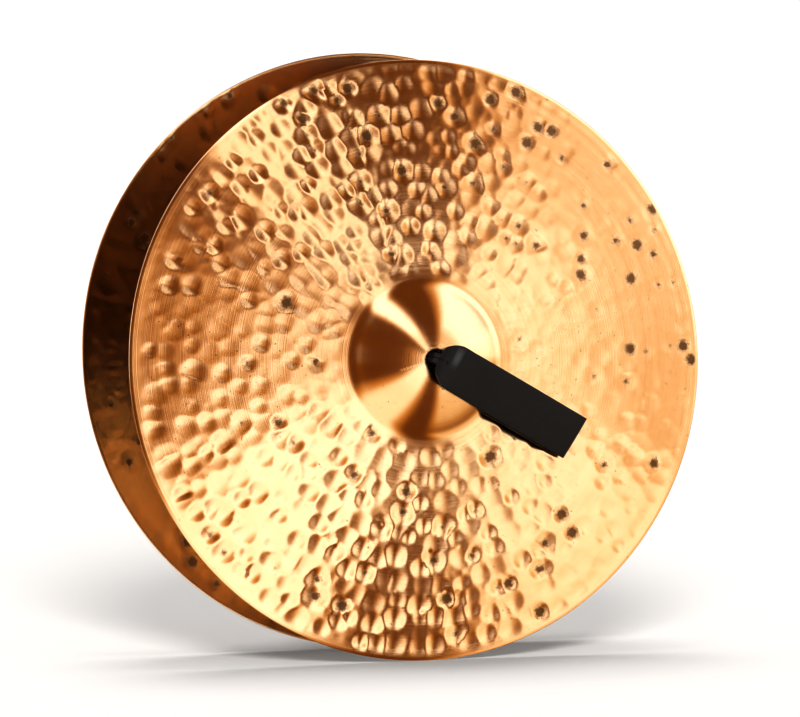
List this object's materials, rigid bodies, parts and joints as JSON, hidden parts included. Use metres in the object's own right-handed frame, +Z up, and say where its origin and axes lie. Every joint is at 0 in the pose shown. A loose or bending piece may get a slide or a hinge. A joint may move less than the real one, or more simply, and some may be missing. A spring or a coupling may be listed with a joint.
{
  "type": "pair of clash cymbals",
  "caption": "Thin hammered bronze cymbals standing on edge, each with a domed bell and a black leather hand strap knotted through its centre hole.",
  "frame": {"origin": "on the floor, under the middle of the pair's box", "axes": "+Z up, +Y from the front cymbal towards the rear one, +X to the right seen from the front"},
  "size_m": [0.4634, 0.215, 0.4546],
  "materials": {
    "bronze": "lathed, hammered and polished bronze",
    "leather": "smooth black strap leather"
  },
  "bodies": {
    "front_cymbal": {"front_cymbal": "bronze"},
    "front_strap_knot": {"front_strap_knot": "leather"},
    "front_strap_loop": {"front_strap_loop": "leather"},
    "rear_cymbal": {"rear_cymbal": "bronze"},
    "rear_strap_knot": {"rear_strap_knot": "leather"},
    "rear_strap_loop": {"rear_strap_loop": "leather"}
  },
  "joints": [
    {"name": "clash_stroke", "type": "slide", "parent": "front_cymbal", "child": "rear_cymbal", "axis": [0.0663, -0.9978, 0], "range_m": [-0.25, 0.097]},
    {"name": "front_strap_swivel", "type": "hinge", "parent": "front_cymbal", "child": "front_strap_knot", "pos_m": [0.0033, -0.05163, 0.22735], "axis": [0, -0.9949, 0.1009], "continuous": true},
    {"name": "front_strap_lift", "type": "hinge", "parent": "front_strap_knot", "child": "front_strap_loop", "pos_m": [0.0033, -0.09889, 0.23214], "axis": [-0.4741, -0.0888, -0.876], "range_deg": [0, 102]},
    {"name": "rear_strap_swivel", "type": "hinge", "parent": "rear_cymbal", "child": "rear_strap_knot", "pos_m": [-0.0033, 0.04767, 0.22726], "axis": [0, 0.9949, -0.1009], "continuous": true},
    {"name": "rear_strap_lift", "type": "hinge", "parent": "rear_strap_knot", "child": "rear_strap_loop", "pos_m": [-0.0033, 0.09493, 0.22247], "axis": [1, 0, 0], "range_deg": [-18, 84]}
  ]
}
